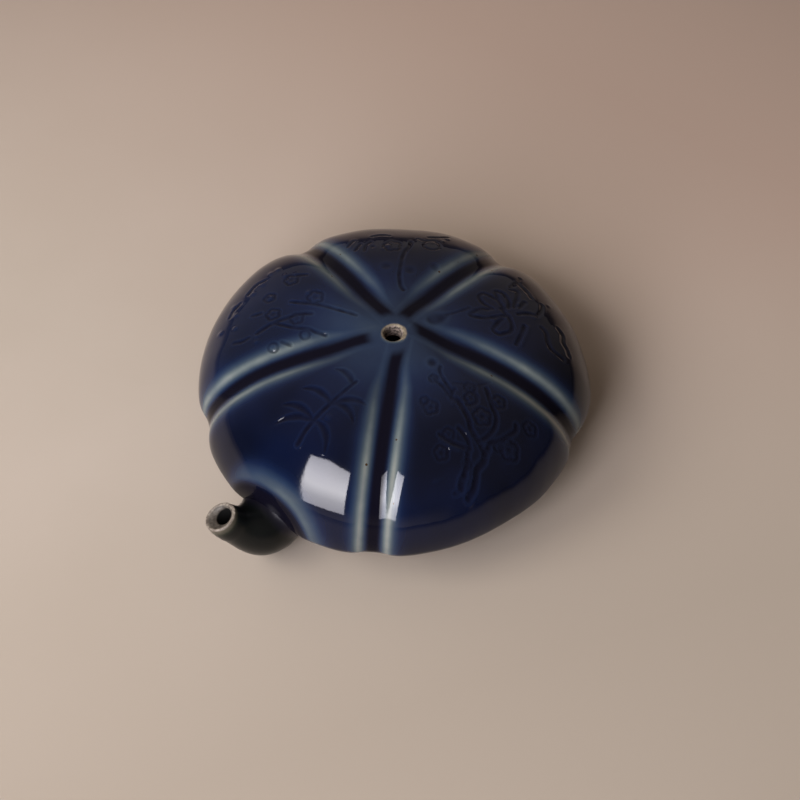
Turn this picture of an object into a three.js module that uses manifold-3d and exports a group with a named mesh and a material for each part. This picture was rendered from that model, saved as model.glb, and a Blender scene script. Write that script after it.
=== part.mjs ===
// Melon-shaped water dropper in glazed porcelain: a two-part moulded body on a slab base, with a bulb spout.
// Millimetres, +Z up. The origin is the centre of the flat base on the table, and the spout points along -Y.
import * as THREE from "three";
import { mergeVertices } from "three/addons/utils/BufferGeometryUtils.js";
import Module from "manifold-3d";

const wasm = await Module();
wasm.setup();

// Body profile, measured over the lobes
const BODY_RADIUS = 50;
const BODY_HEIGHT = 41.3;
const WIDEST_HEIGHT = 14.5; // the two moulded halves are joined here
const CROWN_REACH = 43; // how far the flat of the crown carries out from the air hole
const SHOULDER_RISE = 8.1; // how far above the widest line the wall still stands upright
const BELLY_DROP = 3.5; // how far below the widest line the wall stays upright
const FOOT_RADIUS = 30.2;
const FOOT_SPREAD = 8.3; // how far the underside runs flat outside the foot
const WALL = 3;
const BASE_THICKNESS = 3.5;
const FOOT_LAND = 4.2; // width of the lower shell's edge where it stands on the base slab
const INNER_TURN = 1.2; // how much tighter the chamber turns under the crown, so that the wall stays even
const INNER_CURVE_SPREAD = 3; // rounding of the chamber where the wall meets the base slab

// Five grooves part the lobes. Each runs straight out at its azimuth, and its line passes the body's axis
// at a small distance (positive to its left, seen from above), as it was pressed by hand.
const GROOVES = [
  { azimuth: -54.5, aside: 2.1 },
  { azimuth: 20.7, aside: 3.75 },
  { azimuth: 92.1, aside: 1.4 },
  { azimuth: 166.9, aside: -2.15 },
  { azimuth: 235.6, aside: 0.05 },
];
const GROOVE_START = 3; // distance from the body's axis where a groove begins
const GROOVE_RUN_IN = 14; // how far it runs out before it is at full depth
const GROOVE_BREADTH = 4.2; // distance from its middle at which a groove has risen half way
const GROOVE_BREADTH_AT_START = 3.4;
const GROOVE_WIDENING_RUN = 17;
const GROOVE_SQUARENESS = 3; // how flat the floor stays before the sides turn up
const GROOVE_DEPTH = 2;
const GROOVE_DEPTH_AT_WIDEST = 1.7;
const GROOVE_DEPTH_AT_FOOT = 0.5;
const GROOVE_DEPTH_INSIDE = 0.9;

// How far each lobe swells past the round at its first quarter, middle and last quarter, as the mould left it
const LOBE_SWELLS = [
  [-0.65, -1, 0],
  [2.2, 1.6, 1],
  [-0.35, -1.2, -0.85],
  [1, 0.8, 0.5],
  [0.05, 0.7, -0.4],
];
const GROOVE_SWELLS = [0, 0.8, 0, 0, 0]; // the same along the grooves' middles

const AIR_HOLE_RADIUS = 2.3;
const AIR_HOLE_PLACE = new THREE.Vector2(0.5, 0.3); // pierced by hand, a little off the axis

// Hollow pressed into the wall round the spout's root
const HOLLOW_AZIMUTH = 273.7;
const HOLLOW_DROP = 2.9; // middle of the hollow below the widest line
const HOLLOW_RADIUS = 13.2;
const HOLLOW_DEPTH = 2.5;

// Spout: a bulb low on the wall, with a neck that bends up to an open lip.
// Its centre line is given from the middle of the hollow: sideways, towards the wall (+Y), and up.
const SPOUT_ROOT = new THREE.Vector3(-1.7, 8.8, -2.9);
const SPOUT_BULB_BEND = new THREE.Vector3(2.2, 1.5, -7.2);
const SPOUT_NECK_BEND = new THREE.Vector3(-3.2, -10.2, 4.3);
const SPOUT_MOUTH = new THREE.Vector3(-5.2, -11.5, 9.5);
const SPOUT_ROOT_RADIUS = 6.1;
const SPOUT_BULB_RADIUS = 7.6;
const SPOUT_NECK_RADIUS = 4.7;
const SPOUT_LIP_RADIUS = 4.2;
const SPOUT_BULB_PLACE = 0.41; // share of the spout's centre line where the bulb is fattest
const SPOUT_NECK_PLACE = 0.8;
const SPOUT_BORE_RADIUS = 2.3;
const SPOUT_MOUTH_BORE_RADIUS = 3.5;
const SPOUT_FLARE_PLACE = 0.93; // share of the centre line where the bore starts to open out
const SPOUT_LUTING_GAP = 0.3; // slip-filled gap between the spout's root and the wall
const PASSAGE_RADIUS = 2.2; // hole pierced through the wall behind the spout

// Fineness of the faceted surfaces
const CROWN_STEPS = 14;
const BELLY_STEPS = 8;
const BASE_EDGE_STEPS = 3;
const SPOUT_SIDES = 24;
const SPOUT_STEPS = 16;
const LOBE_STEPS = [0, 0.4, 0.75, 1.1, 1.55, 2.2, 3.4, 5.1]; // in groove breadths at the widest line
const HOLLOW_STEPS = 4; // extra columns on each side of the hollow's middle
const COLUMN_GAP = 0.4; // degrees that two columns keep between them

const GLAZE = new THREE.MeshStandardMaterial({ color: 0x17213a, roughness: 0.12, metalness: 0 });
const SPOUT_GLAZE = new THREE.MeshStandardMaterial({ color: 0x1a2130, roughness: 0.14, metalness: 0 });
const BARE_CLAY = new THREE.MeshStandardMaterial({ color: 0xb9a68c, roughness: 0.8, metalness: 0 });

const radians = THREE.MathUtils.degToRad;
const degrees = THREE.MathUtils.radToDeg;
const euclideanModulo = THREE.MathUtils.euclideanModulo;
const mix = THREE.MathUtils.lerp;
const smooth = (x) => THREE.MathUtils.smoothstep(x, 0, 1);

// A cubic curve through a quarter of the body's outline: its point and direction at share t
function quarter(start, startBend, endBend, end, t) {
  const point = new THREE.CubicBezierCurve(start, startBend, endBend, end).getPoint(t);
  const along = new THREE.Vector2()
    .addScaledVector(new THREE.Vector2().subVectors(startBend, start), (1 - t) ** 2)
    .addScaledVector(new THREE.Vector2().subVectors(endBend, startBend), 2 * t * (1 - t))
    .addScaledVector(new THREE.Vector2().subVectors(end, endBend), t ** 2)
    .normalize();
  return { radius: point.x, height: point.y, out: along.x, up: along.y };
}

const at = (radius, height) => new THREE.Vector2(radius, height);

// Outline of the crown, from the widest line (t = 0) up to the air hole's axis (t = 1)
function crownAt(t) {
  const q = quarter(
    at(BODY_RADIUS, WIDEST_HEIGHT),
    at(BODY_RADIUS, WIDEST_HEIGHT + SHOULDER_RISE),
    at(CROWN_REACH, BODY_HEIGHT),
    at(0, BODY_HEIGHT),
    t,
  );
  return { radius: q.radius, height: q.height, normalOut: q.up, normalUp: -q.out };
}

// Outline of the belly, from the foot (t = 0) up to the widest line (t = 1)
function bellyAt(t) {
  const q = quarter(
    at(FOOT_RADIUS, 0),
    at(FOOT_RADIUS + FOOT_SPREAD, 0),
    at(BODY_RADIUS, WIDEST_HEIGHT - BELLY_DROP),
    at(BODY_RADIUS, WIDEST_HEIGHT),
    t,
  );
  return { radius: q.radius, height: q.height, normalOut: 1, normalUp: 0 };
}

// The share of the belly outline at which it rises past a height
function bellyShareAt(height) {
  let low = 0;
  let high = 1;
  for (let i = 0; i < 40; i++) {
    const middle = (low + high) / 2;
    if (bellyAt(middle).height < height) low = middle;
    else high = middle;
  }
  return (low + high) / 2;
}

const SLAB_SHARE = bellyShareAt(BASE_THICKNESS);

// The azimuth of a groove's middle at a distance from the body's axis
function grooveAzimuthAt(groove, radius) {
  const distance = Math.max(radius, 2 * Math.abs(groove.aside), GROOVE_START);
  return groove.azimuth + degrees(Math.asin(groove.aside / distance));
}

// How fully a point lies in a groove: 1 on the floor, 0 on a lobe
function grooveShare(radius, azimuth) {
  const widening = smooth((radius - GROOVE_START) / GROOVE_WIDENING_RUN);
  const breadth = mix(GROOVE_BREADTH_AT_START, GROOVE_BREADTH, widening);
  let untouched = 1;
  for (const groove of GROOVES) {
    const turn = radians(azimuth - groove.azimuth);
    if (Math.cos(turn) <= 0) continue;
    const lateral = Math.abs(radius * Math.sin(turn) - groove.aside) / breadth;
    untouched *= 1 - 1 / (1 + lateral ** GROOVE_SQUARENESS);
  }
  return (1 - untouched) * smooth((radius - GROOVE_START) / GROOVE_RUN_IN);
}

function grooveDepthAt(height) {
  const rise = (height - WIDEST_HEIGHT) / (BODY_HEIGHT - WIDEST_HEIGHT);
  if (rise >= 0) return mix(GROOVE_DEPTH_AT_WIDEST, GROOVE_DEPTH, smooth(rise * 2));
  return mix(GROOVE_DEPTH_AT_FOOT, GROOVE_DEPTH_AT_WIDEST, height / WIDEST_HEIGHT);
}

const HOLLOW_HEIGHT = WIDEST_HEIGHT - HOLLOW_DROP;
const HOLLOW_CENTRE_RADIUS = bellyAt(bellyShareAt(HOLLOW_HEIGHT)).radius;
const HOLLOW_CENTRE = new THREE.Vector3(
  HOLLOW_CENTRE_RADIUS * Math.cos(radians(HOLLOW_AZIMUTH)),
  HOLLOW_CENTRE_RADIUS * Math.sin(radians(HOLLOW_AZIMUTH)),
  HOLLOW_HEIGHT,
);

// How deep the wall is pressed in round the spout, at a point of the plain outline
function hollowDepthAt(point) {
  return HOLLOW_DEPTH * smooth(1 - point.distanceTo(HOLLOW_CENTRE) / HOLLOW_RADIUS);
}

// How far the wall swells past the round at a share of the way across a lobe, at the widest line
function swellAt(lobe, across) {
  const swells = [GROOVE_SWELLS[lobe], ...LOBE_SWELLS[lobe], GROOVE_SWELLS[(lobe + 1) % GROOVES.length]];
  const place = across * (swells.length - 1);
  const before = Math.floor(place);
  return mix(swells[before], swells[before + 1], smooth(place - before));
}

// A lobe's first edge and its breadth, in degrees, at a distance from the body's axis
function lobeSpanAt(lobe, radius) {
  const from = grooveAzimuthAt(GROOVES[lobe], radius);
  const to = grooveAzimuthAt(GROOVES[(lobe + 1) % GROOVES.length], radius);
  return { from, breadth: euclideanModulo(to - from, 360) };
}

// One vertex of the body: the outline turned to its column, swollen, and sunk into its groove and the hollow
function bodyVertex(outline, column) {
  const span = lobeSpanAt(column.lobe, outline.radius);
  const azimuth = span.from + span.breadth * column.across;
  const turn = radians(azimuth);
  const plain = new THREE.Vector3(
    outline.radius * Math.cos(turn),
    outline.radius * Math.sin(turn),
    outline.height,
  );
  const groove = outline.groove ?? grooveDepthAt(outline.height);
  const depth = groove * grooveShare(outline.radius, azimuth) + hollowDepthAt(plain);
  const lift = outline.lift ?? 0;
  const swell = swellAt(column.lobe, column.across) * (outline.radius / BODY_RADIUS) ** 2;
  const radius = outline.radius + swell + (lift - depth) * outline.normalOut;
  return new THREE.Vector3(
    radius * Math.cos(turn),
    radius * Math.sin(turn),
    outline.height + (lift - depth) * outline.normalUp,
  );
}

// The body's columns, each at a share of the way across its lobe: closer in the grooves and at the hollow
function bodyColumns() {
  const grooveBreadth = degrees(Math.asin(GROOVE_BREADTH / BODY_RADIUS));
  const hollowSpacing = degrees(HOLLOW_RADIUS / BODY_RADIUS) / HOLLOW_STEPS;
  const columns = [];
  for (let lobe = 0; lobe < GROOVES.length; lobe++) {
    const { from, breadth } = lobeSpanAt(lobe, BODY_RADIUS);
    const places = [breadth / 2];
    for (const step of LOBE_STEPS) {
      const place = Math.min(step * grooveBreadth, breadth / 2 - 1);
      places.push(place);
      if (step > 0) places.push(breadth - place);
    }
    for (let i = -HOLLOW_STEPS; i <= HOLLOW_STEPS; i++) {
      const place = euclideanModulo(HOLLOW_AZIMUTH + (i + 0.5) * hollowSpacing - from, 360);
      if (place < breadth - COLUMN_GAP) places.push(place);
    }
    places.sort((a, b) => a - b);
    const apart = places.filter((place, i) => i === 0 || place - places[i - 1] > COLUMN_GAP);
    for (const place of apart) columns.push({ lobe, across: place / breadth });
  }
  return columns;
}

const COLUMNS = bodyColumns();

// Triangles over rings of equal length, each joined to the next; a ring of one point closes to a tip
function skinOver(rings, closed) {
  const points = rings.flat();
  const starts = [];
  let count = 0;
  for (const ring of rings) {
    starts.push(count);
    count += ring.length;
  }
  const faces = [];
  const last = closed ? rings.length : rings.length - 1;
  for (let i = 0; i < last; i++) {
    const j = (i + 1) % rings.length;
    const sides = Math.max(rings[i].length, rings[j].length);
    for (let k = 0; k < sides; k++) {
      const next = (k + 1) % sides;
      const a = starts[i] + (rings[i].length > 1 ? k : 0);
      const b = starts[i] + (rings[i].length > 1 ? next : 0);
      const c = starts[j] + (rings[j].length > 1 ? next : 0);
      const d = starts[j] + (rings[j].length > 1 ? k : 0);
      if (a !== b) faces.push(a, b, c);
      if (c !== d) faces.push(a, c, d);
    }
  }
  const geometry = new THREE.BufferGeometry().setFromPoints(points);
  geometry.setIndex(faces);
  return geometry;
}

// A body of lobes from an outline; an outline point on the axis becomes a single tip
function lobed(outline, closed) {
  const rings = outline.map((point) => {
    const tipHeight = point.height + (point.lift ?? 0) * point.normalUp;
    if (point.radius === 0) return [new THREE.Vector3(0, 0, tipHeight)];
    return COLUMNS.map((column) => bodyVertex(point, column));
  });
  return skinOver(rings, closed);
}

function shares(steps, from = 0, to = 1) {
  return Array.from({ length: steps + 1 }, (_, i) => mix(from, to, i / steps));
}

function solidOf(geometry) {
  const bare = geometry.clone();
  bare.deleteAttribute("normal");
  bare.deleteAttribute("uv");
  const merged = mergeVertices(bare, 1e-4);
  return new wasm.Manifold(
    new wasm.Mesh({
      numProp: 3,
      vertProperties: new Float32Array(merged.attributes.position.array),
      triVerts: new Uint32Array(merged.index.array),
    }),
  );
}

function meshOf(name, solid, material) {
  const cut = solid.getMesh();
  const geometry = new THREE.BufferGeometry();
  geometry.setAttribute("position", new THREE.BufferAttribute(cut.vertProperties, 3));
  geometry.setIndex(new THREE.BufferAttribute(cut.triVerts, 1));
  geometry.computeVertexNormals();
  const mesh = new THREE.Mesh(geometry, material);
  mesh.name = name;
  return mesh;
}

// A straight round cutter between two points
function cutterBetween(from, to, radius) {
  const along = new THREE.Vector3().subVectors(to, from);
  const geometry = new THREE.CylinderGeometry(radius, radius, along.length(), SPOUT_SIDES);
  const up = new THREE.Vector3(0, 1, 0);
  const turn = new THREE.Quaternion().setFromUnitVectors(up, along.clone().normalize());
  geometry.applyQuaternion(turn);
  geometry.translate(...new THREE.Vector3().addVectors(from, to).multiplyScalar(0.5).toArray());
  return solidOf(geometry);
}

// The tip on the axis has no groove, so its normal is straight up
const crownTip = { radius: 0, height: BODY_HEIGHT, normalOut: 0, normalUp: 1 };

// Inner face of the crown: a like curve inside the outer one, upright at the seam
function innerCrownAt(t) {
  const q = quarter(
    at(BODY_RADIUS - WALL, WIDEST_HEIGHT),
    at(BODY_RADIUS - WALL, WIDEST_HEIGHT + SHOULDER_RISE - INNER_TURN),
    at(CROWN_REACH - INNER_TURN, BODY_HEIGHT - WALL),
    at(0, BODY_HEIGHT - WALL),
    t,
  );
  const groove = GROOVE_DEPTH_INSIDE;
  return { radius: q.radius, height: q.height, normalOut: q.up, normalUp: -q.out, groove };
}

function upperShell() {
  const outer = shares(CROWN_STEPS).slice(0, -1).map(crownAt);
  const inner = shares(CROWN_STEPS).slice(0, -1).map(innerCrownAt).reverse();
  const innerTip = { ...crownTip, height: BODY_HEIGHT - WALL };
  const body = solidOf(lobed([...outer, crownTip, innerTip, ...inner], true));
  const airHole = cutterBetween(
    new THREE.Vector3(AIR_HOLE_PLACE.x, AIR_HOLE_PLACE.y, BODY_HEIGHT - 2 * WALL),
    new THREE.Vector3(AIR_HOLE_PLACE.x, AIR_HOLE_PLACE.y, BODY_HEIGHT + WALL),
    AIR_HOLE_RADIUS,
  );
  return meshOf("upper_shell", body.subtract(airHole), GLAZE);
}

// Inner face of the belly: upright at the seam, rounding in to the edge that stands on the slab
function innerBellyAt(t) {
  const landRadius = bellyAt(SLAB_SHARE).radius - FOOT_LAND;
  const q = quarter(
    at(landRadius, BASE_THICKNESS),
    at(landRadius + INNER_CURVE_SPREAD, BASE_THICKNESS),
    at(BODY_RADIUS - WALL, WIDEST_HEIGHT - BELLY_DROP),
    at(BODY_RADIUS - WALL, WIDEST_HEIGHT),
    t,
  );
  return { radius: q.radius, height: q.height, normalOut: 1, normalUp: 0, groove: GROOVE_DEPTH_INSIDE };
}

function lowerShell(spoutPassage) {
  const outer = shares(BELLY_STEPS, SLAB_SHARE, 1).map(bellyAt);
  outer[0].height = BASE_THICKNESS;
  const inner = shares(BELLY_STEPS).map(innerBellyAt).reverse();
  const ring = solidOf(lobed([...outer, ...inner], true));
  return meshOf("lower_shell", ring.subtract(spoutPassage), GLAZE);
}

function baseDisc() {
  const edge = shares(BASE_EDGE_STEPS, 0, SLAB_SHARE).map(bellyAt);
  edge[BASE_EDGE_STEPS].height = BASE_THICKNESS;
  const underside = { radius: 0, height: 0, normalOut: 0, normalUp: -1 };
  const top = { radius: 0, height: BASE_THICKNESS, normalOut: 0, normalUp: 1 };
  return meshOf("base_disc", solidOf(lobed([underside, ...edge, top], false)), BARE_CLAY);
}

const fromHollow = (offset) => new THREE.Vector3().addVectors(HOLLOW_CENTRE, offset);
const spoutLine = new THREE.CubicBezierCurve3(
  fromHollow(SPOUT_ROOT),
  fromHollow(SPOUT_BULB_BEND),
  fromHollow(SPOUT_NECK_BEND),
  fromHollow(SPOUT_MOUTH),
);

function spoutRadiusAt(t) {
  if (t < SPOUT_BULB_PLACE) return mix(SPOUT_ROOT_RADIUS, SPOUT_BULB_RADIUS, smooth(t / SPOUT_BULB_PLACE));
  if (t < SPOUT_NECK_PLACE) {
    const run = (t - SPOUT_BULB_PLACE) / (SPOUT_NECK_PLACE - SPOUT_BULB_PLACE);
    return mix(SPOUT_BULB_RADIUS, SPOUT_NECK_RADIUS, smooth(run));
  }
  return mix(SPOUT_NECK_RADIUS, SPOUT_LIP_RADIUS, (t - SPOUT_NECK_PLACE) / (1 - SPOUT_NECK_PLACE));
}

function boreRadiusAt(t) {
  const flare = smooth((t - SPOUT_FLARE_PLACE) / (1 - SPOUT_FLARE_PLACE));
  return mix(SPOUT_BORE_RADIUS, SPOUT_MOUTH_BORE_RADIUS, flare);
}

// A ring round the spout's centre line
function spoutRing(t, radius) {
  const centre = spoutLine.getPoint(t);
  const along = spoutLine.getTangent(t);
  const side = new THREE.Vector3(1, 0, 0).addScaledVector(along, -along.x).normalize();
  const across = new THREE.Vector3().crossVectors(along, side);
  return Array.from({ length: SPOUT_SIDES }, (_, k) => {
    const turn = (k / SPOUT_SIDES) * 2 * Math.PI;
    return centre
      .clone()
      .addScaledVector(side, radius * Math.cos(turn))
      .addScaledVector(across, radius * Math.sin(turn));
  });
}

// The body's outer face as one solid, lifted off by the luting gap: what the spout's root is shaped to
function bodyEnvelope() {
  const lifted = (point) => ({ ...point, lift: SPOUT_LUTING_GAP });
  const belly = shares(BELLY_STEPS).map(bellyAt).map(lifted);
  const crown = shares(CROWN_STEPS).slice(1, -1).map(crownAt).map(lifted);
  const underside = { radius: 0, height: 0, normalOut: 0, normalUp: -1 };
  return solidOf(lobed([underside, ...belly, ...crown, lifted(crownTip)], false));
}

function spout() {
  const places = shares(SPOUT_STEPS);
  const outer = places.map((t) => spoutRing(t, spoutRadiusAt(t)));
  const bore = places.map((t) => spoutRing(t, boreRadiusAt(t))).reverse();
  const tube = solidOf(skinOver([...outer, ...bore], true));
  return meshOf("spout", tube.subtract(bodyEnvelope()), SPOUT_GLAZE);
}

function spoutPassage() {
  const start = spoutLine.getPoint(0);
  const inward = spoutLine.getTangent(0);
  const reach = 3 * WALL;
  return cutterBetween(
    start.clone().addScaledVector(inward, -reach),
    start.clone().addScaledVector(inward, reach),
    PASSAGE_RADIUS,
  );
}

const waterDropper = new THREE.Group();
waterDropper.add(upperShell(), lowerShell(spoutPassage()), baseDisc(), spout());

export default waterDropper;
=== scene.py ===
"""Melon-shaped water dropper in cobalt-glazed porcelain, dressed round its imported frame. Metres, +Z up."""
import math
from types import SimpleNamespace

import bpy
import numpy as np
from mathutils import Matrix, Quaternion, Vector


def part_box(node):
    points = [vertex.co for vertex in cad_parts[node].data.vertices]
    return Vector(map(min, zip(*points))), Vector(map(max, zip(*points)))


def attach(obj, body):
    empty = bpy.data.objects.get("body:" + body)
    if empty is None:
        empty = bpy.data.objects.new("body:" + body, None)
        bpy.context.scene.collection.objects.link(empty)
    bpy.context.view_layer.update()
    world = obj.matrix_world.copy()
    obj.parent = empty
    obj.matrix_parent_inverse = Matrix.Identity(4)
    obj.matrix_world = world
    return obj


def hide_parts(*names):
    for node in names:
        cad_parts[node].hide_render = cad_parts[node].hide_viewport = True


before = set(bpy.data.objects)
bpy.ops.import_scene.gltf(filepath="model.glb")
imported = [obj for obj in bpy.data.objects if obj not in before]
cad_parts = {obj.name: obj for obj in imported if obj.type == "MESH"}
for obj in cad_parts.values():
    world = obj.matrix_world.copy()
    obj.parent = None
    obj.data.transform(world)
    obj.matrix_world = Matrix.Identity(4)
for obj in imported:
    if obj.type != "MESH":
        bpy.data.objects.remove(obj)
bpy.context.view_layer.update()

MM = 0.001

# Body profile over the lobes, in millimetres
BODY_RADIUS = 50.0
BODY_HEIGHT = 41.3
WIDEST_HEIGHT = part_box("upper_shell")[0][2] / MM  # the two moulded halves are joined here
CROWN_REACH = 43.0
SHOULDER_RISE = 8.1
BELLY_DROP = 3.5
FOOT_RADIUS = 30.2
FOOT_SPREAD = 8.3
WALL = 3.0
BASE_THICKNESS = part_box("base_disc")[1][2] / MM
FOOT_LAND = 4.2
INNER_TURN = 1.2
INNER_CURVE_SPREAD = 3.0

# Grooves between the lobes: azimuth, and how far each one's line passes the body's axis
GROOVES = ((-54.5, 2.1), (20.7, 3.75), (92.1, 1.4), (166.9, -2.15), (235.6, 0.05))
GROOVE_START = 3.0
GROOVE_RUN_IN = 14.0
GROOVE_BREADTH = 4.2
GROOVE_BREADTH_AT_START = 3.4
GROOVE_WIDENING_RUN = 17.0
GROOVE_SQUARENESS = 3
GROOVE_DEPTH = 2.0
GROOVE_DEPTH_AT_WIDEST = 1.7
GROOVE_DEPTH_AT_FOOT = 0.5
GROOVE_DEPTH_INSIDE = 0.9

# How pale the glaze runs on the two sides of each groove, clockwise and anticlockwise
GROOVE_PALENESS = ((0.96, 1.0), (1.0, 0.84), (0.98, 0.88), (0.84, 0.9), (0.86, 0.84))

# How far each lobe swells past the round at its first quarter, middle and last quarter
LOBE_SWELLS = (
    (-0.65, -1.0, 0.0),
    (2.2, 1.6, 1.0),
    (-0.35, -1.2, -0.85),
    (1.0, 0.8, 0.5),
    (0.05, 0.7, -0.4),
)
GROOVE_SWELLS = (0.0, 0.8, 0.0, 0.0, 0.0)  # the same along the grooves' middles

AIR_HOLE_RADIUS = 2.3
AIR_HOLE_PLACE = (0.5, 0.3)
AIR_HOLE_ROUNDING = 0.9
CROWN_SHIFT_RUN = 8  # over this distance the crown's middle comes back from the hole to the axis
AIR_HOLE_BURR = 1.2  # how far the clay pushed through by the piercing stick hangs inside

# Hollow pressed into the wall round the spout
HOLLOW_AZIMUTH = 273.7
HOLLOW_DROP = 2.9
HOLLOW_RADIUS = 13.2
HOLLOW_DEPTH = 2.5
HOLLOW_RIM = 14.0

# Spout's centre line, from the middle of the hollow: sideways, towards the wall, and up
SPOUT_OFFSETS = ((-1.7, 8.8, -2.9), (2.2, 1.5, -7.2), (-3.2, -10.2, 4.3), (-5.2, -11.5, 9.5))
SPOUT_ROOT_RADIUS = 6.1
SPOUT_BULB_RADIUS = 7.6
SPOUT_NECK_RADIUS = 4.7
SPOUT_LIP_RADIUS = 4.2
SPOUT_BULB_PLACE = 0.41
SPOUT_NECK_PLACE = 0.8
SPOUT_START = 0.1  # share of the centre line where the mesh begins, inside the wall
SPOUT_BORE_RADIUS = 2.3
SPOUT_MOUTH_BORE_RADIUS = 3.5
SPOUT_FLARE_PLACE = 0.95
BORE_ASIDE = (0.1, 0.8, 0.0)  # the bore lies nearer to the body's side of the neck, in mm
SPOUT_UNDERCUT = 3.0  # how far the underside rises to meet the belly at the root
LUTING_FILLET = 3.4  # radius of the slip smoothed round the spout's root

# Carving
CARVING_LEFT = 0.55  # share of a mark's carved depth that still shows under the glaze
MARK_LIP = 0.2  # share of a mark's depth by which the clay stands up beside it

# How pale the glaze is where it runs thin, as a share of its palest, and where that is, in mm; some of this
# paleness is painted reflection and glint
PALE_ASIDE_AT_CROWN = 3.1  # distance of a groove's two pale lines from its middle
PALE_ASIDE = 3.75
PALE_BREADTH = 1.3
PALE_SQUARENESS = 1.35  # of a pale line's outer side
PALENESS_AT_CROWN = 0.3
PALENESS = 0.8
PALENESS_ADDED_OUTSIDE = 0.16
CROWN_PALENESS = 0.24
RIM_PALENESS_AND_REFLECTION = (0.32, 0.56)  # of the hollow's rim, on its two sides: thin glaze, and on the second side also a painted reflection of the floor below the window's highlight
# paleness beside carved lines from thin glaze, and over raised marks partly a painted glint
MARK_PALENESS_AND_GLINT = 0.16
REFLECTING_LOBE_AZIMUTH = 203  # the lobe that is painted a little paler, as a painted reflection of the bright wall behind on the left
PAINTED_WALL_REFLECTION = 0.07
THICK_GLAZE = "0c0b15"  # its colour where it pools
BARE_RING = 3.0  # mean radius of the bare clay round the air hole

# Fineness of the modelled skin
COLUMNS = 720
HALVED_WITHIN = 26  # rows inside this radius have half the columns, and inside the next a quarter
QUARTERED_WITHIN = 13
INNER_COLUMNS = COLUMNS // 4
SHARP_ANGLE = 75
ROW_SPACING = 0.4
SPOUT_SIDES = 144

# The photograph's camera, from the fit of its outline
CAMERA_DISTANCE = 0.700
CAMERA_ELEVATION = 55.66
CAMERA_AZIMUTH = 43.4 - 90.0
FOCAL_PIXELS = 2681.0
IMAGE_PIXELS = 800.0
AXIS_PIXEL = (390.96, 391.98)  # where the middle of the widest plane stands in the photograph
SENSOR_MM = 36.0

FLOOR_REACH = 3.0  # in metres


def linear(hex_colour):
    """An sRGB hex colour as linear RGBA."""
    out = []
    for i in (0, 2, 4):
        c = int(hex_colour[i:i + 2], 16) / 255
        out.append(c / 12.92 if c <= 0.04045 else ((c + 0.055) / 1.055) ** 2.4)
    return (*out, 1.0)


def smooth(x):
    """Eases from 0 at 0 to 1 at 1, and is level beyond them."""
    x = np.clip(x, 0.0, 1.0)
    return x * x * (3 - 2 * x)


def mix(a, b, t):
    return a + (b - a) * t


def bell(x):
    """A bell curve that is 1 at 0 and falls to a half at 1."""
    return 0.5 ** (x * x)


def direction(azimuth, elevation):
    """The way from the dropper towards something at an azimuth and elevation."""
    a, e = math.radians(azimuth), math.radians(elevation)
    return Vector((math.cos(a) * math.cos(e), math.sin(a) * math.cos(e), math.sin(e)))


# Outlines of the body

def cubic(t, a, b, c, d):
    return (1 - t) ** 3 * a + 3 * (1 - t) ** 2 * t * b + 3 * (1 - t) * t * t * c + t ** 3 * d


def cubic_slope(t, a, b, c, d):
    return (1 - t) ** 2 * (b - a) + 2 * t * (1 - t) * (c - b) + t * t * (d - c)


def crown_outline(t, inset=0.0, tighter=0.0):
    """Radius, height and outward normal of the crown, from the widest line up to the axis."""
    radii = (BODY_RADIUS - inset, BODY_RADIUS - inset, CROWN_REACH - tighter, 0.0)
    heights = (WIDEST_HEIGHT, WIDEST_HEIGHT + SHOULDER_RISE - tighter,
               BODY_HEIGHT - inset, BODY_HEIGHT - inset)
    out, up = cubic_slope(t, *radii), cubic_slope(t, *heights)
    length = np.hypot(out, up)
    return cubic(t, *radii), cubic(t, *heights), up / length, -out / length


def belly_outline(t):
    """The same for the belly, from the foot up to the widest line; it is sunk straight inwards."""
    radii = (FOOT_RADIUS, FOOT_RADIUS + FOOT_SPREAD, BODY_RADIUS, BODY_RADIUS)
    heights = (0.0, 0.0, WIDEST_HEIGHT - BELLY_DROP, WIDEST_HEIGHT)
    return cubic(t, *radii), cubic(t, *heights), np.ones_like(t), np.zeros_like(t)


FINE = np.linspace(0, 1, 4001)


def belly_radius_at(height):
    radius, rise, _, _ = belly_outline(FINE)
    return np.interp(height, rise, radius)


def crown_radius_at(height):
    radius, rise, _, _ = crown_outline(FINE)
    return np.interp(height, rise, radius)


def belly_share_at(height):
    return float(np.interp(height, belly_outline(FINE)[1], FINE))


def even_shares(outline, start, end):
    """Shares of an outline between two of them, evenly spaced along it at about the row spacing."""
    t = np.linspace(start, end, 4001)
    radius, height, _, _ = outline(t)
    run = np.concatenate([[0], np.cumsum(np.hypot(np.diff(radius), np.diff(height)))])
    steps = int(round(run[-1] / ROW_SPACING))
    return np.interp(np.linspace(0, run[-1], steps + 1), run, t)


def inner_belly_outline(t):
    """Inner face of the belly, from the widest line down to the edge that stands on the slab."""
    land = float(belly_radius_at(BASE_THICKNESS)) - FOOT_LAND
    radii = (land, land + INNER_CURVE_SPREAD, BODY_RADIUS - WALL, BODY_RADIUS - WALL)
    heights = (BASE_THICKNESS, BASE_THICKNESS, WIDEST_HEIGHT - BELLY_DROP, WIDEST_HEIGHT)
    return cubic(1 - t, *radii), cubic(1 - t, *heights), np.ones_like(t), np.zeros_like(t)


# Grooves, swells and the hollow

def groove_azimuths(radius):
    """Azimuths of the grooves' middles at a distance from the axis, with the first one again at the end."""
    azimuths = []
    for azimuth, aside in GROOVES:
        distance = np.maximum(radius, max(2 * abs(aside), GROOVE_START))
        azimuths.append(azimuth + np.degrees(np.arcsin(aside / distance)))
    azimuths.append(azimuths[0] + 360)
    return np.array(azimuths)


def beside_grooves(radius, azimuth):
    """How far points lie to the left of each groove's middle, in mm; far off for the grooves behind them."""
    sides = []
    for middle, aside in GROOVES:
        turn = np.radians(azimuth - middle)
        sides.append(np.where(np.cos(turn) > 0, radius * np.sin(turn) - aside, np.inf))
    return np.array(sides)


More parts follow.
